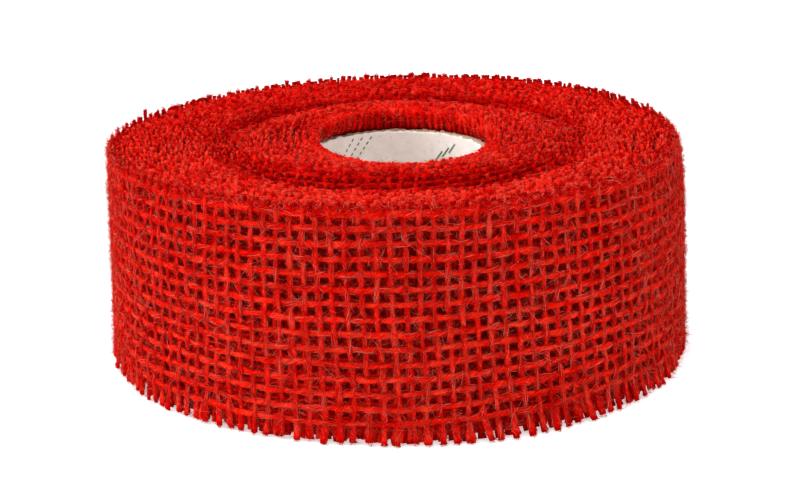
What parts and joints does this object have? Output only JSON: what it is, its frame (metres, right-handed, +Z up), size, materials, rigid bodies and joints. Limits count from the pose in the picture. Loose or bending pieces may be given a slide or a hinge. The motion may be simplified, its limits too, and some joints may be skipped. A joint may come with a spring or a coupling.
{
  "type": "ribbon spool",
  "caption": "Roll of open-weave fringed jute ribbon wound on a short paper core tube, standing on one end, with a free outer end that peels away.",
  "frame": {"origin": "on the axis of the core's bore, at the level of the lower end that the roll stands on", "axes": "+Z up along the core's bore; +X to the right and -Y towards the viewer, with the ribbon's cut end at the back left"},
  "size_m": [0.1042, 0.1036, 0.04],
  "materials": {
    "jute_ribbon": "matte",
    "jute_warp": "matte",
    "jute_weft": "matte",
    "liner_paper": "matte",
    "greyboard": "matte",
    "kraft_paper": "matte",
    "tape": "satin"
  },
  "bodies": {
    "roll": {"core_liner": "liner_paper", "core_ply_inner": "greyboard", "core_ply_outer": "greyboard", "core_wrap": "kraft_paper", "start_tape": "tape", "ribbon_wound": "jute_ribbon", "warp_01": "jute_warp", "warp_02": "jute_warp", "warp_03": "jute_warp", "warp_04": "jute_warp", "warp_05": "jute_warp", "warp_06": "jute_warp", "warp_07": "jute_warp", "warp_08": "jute_warp", "warp_09": "jute_warp", "warp_10": "jute_warp", "warp_11": "jute_warp", "warp_12": "jute_warp", "warp_13": "jute_warp", "warp_14": "jute_warp", "warp_15": "jute_warp", "wefts_odd": "jute_weft", "wefts_even": "jute_weft"},
    "tail_1": {"tail_1_warps": "jute_warp", "tail_1_wefts": "jute_weft"},
    "tail_2": {"tail_2_warps": "jute_warp", "tail_2_wefts": "jute_weft"},
    "tail_3": {"tail_3_warps": "jute_warp", "tail_3_wefts": "jute_weft"},
    "tail_4": {"tail_4_warps": "jute_warp", "tail_4_wefts": "jute_weft"}
  },
  "joints": [
    {"name": "tail_peel", "type": "hinge", "parent": "roll", "child": "tail_1", "pos_m": [-0.03399, -0.03883, 0.02], "axis": [0, 0, 1], "range_deg": [0, 25]},
    {"name": "tail_curl_2", "type": "hinge", "parent": "tail_1", "child": "tail_2", "pos_m": [-0.04436, -0.02647, 0.02], "axis": [0, 0, 1], "range_deg": [0, 20]},
    {"name": "tail_curl_3", "type": "hinge", "parent": "tail_2", "child": "tail_3", "pos_m": [-0.0504, -0.01152, 0.02], "axis": [0, 0, 1], "range_deg": [0, 20]},
    {"name": "tail_curl_4", "type": "hinge", "parent": "tail_3", "child": "tail_4", "pos_m": [-0.05152, 0.00457, 0.02], "axis": [0, 0, 1], "range_deg": [0, 20]}
  ],
  "couplings": [
    {"joint": "tail_curl_2", "follows": "tail_peel", "ratio": 0.8},
    {"joint": "tail_curl_3", "follows": "tail_peel", "ratio": 0.8},
    {"joint": "tail_curl_4", "follows": "tail_peel", "ratio": 0.8}
  ]
}
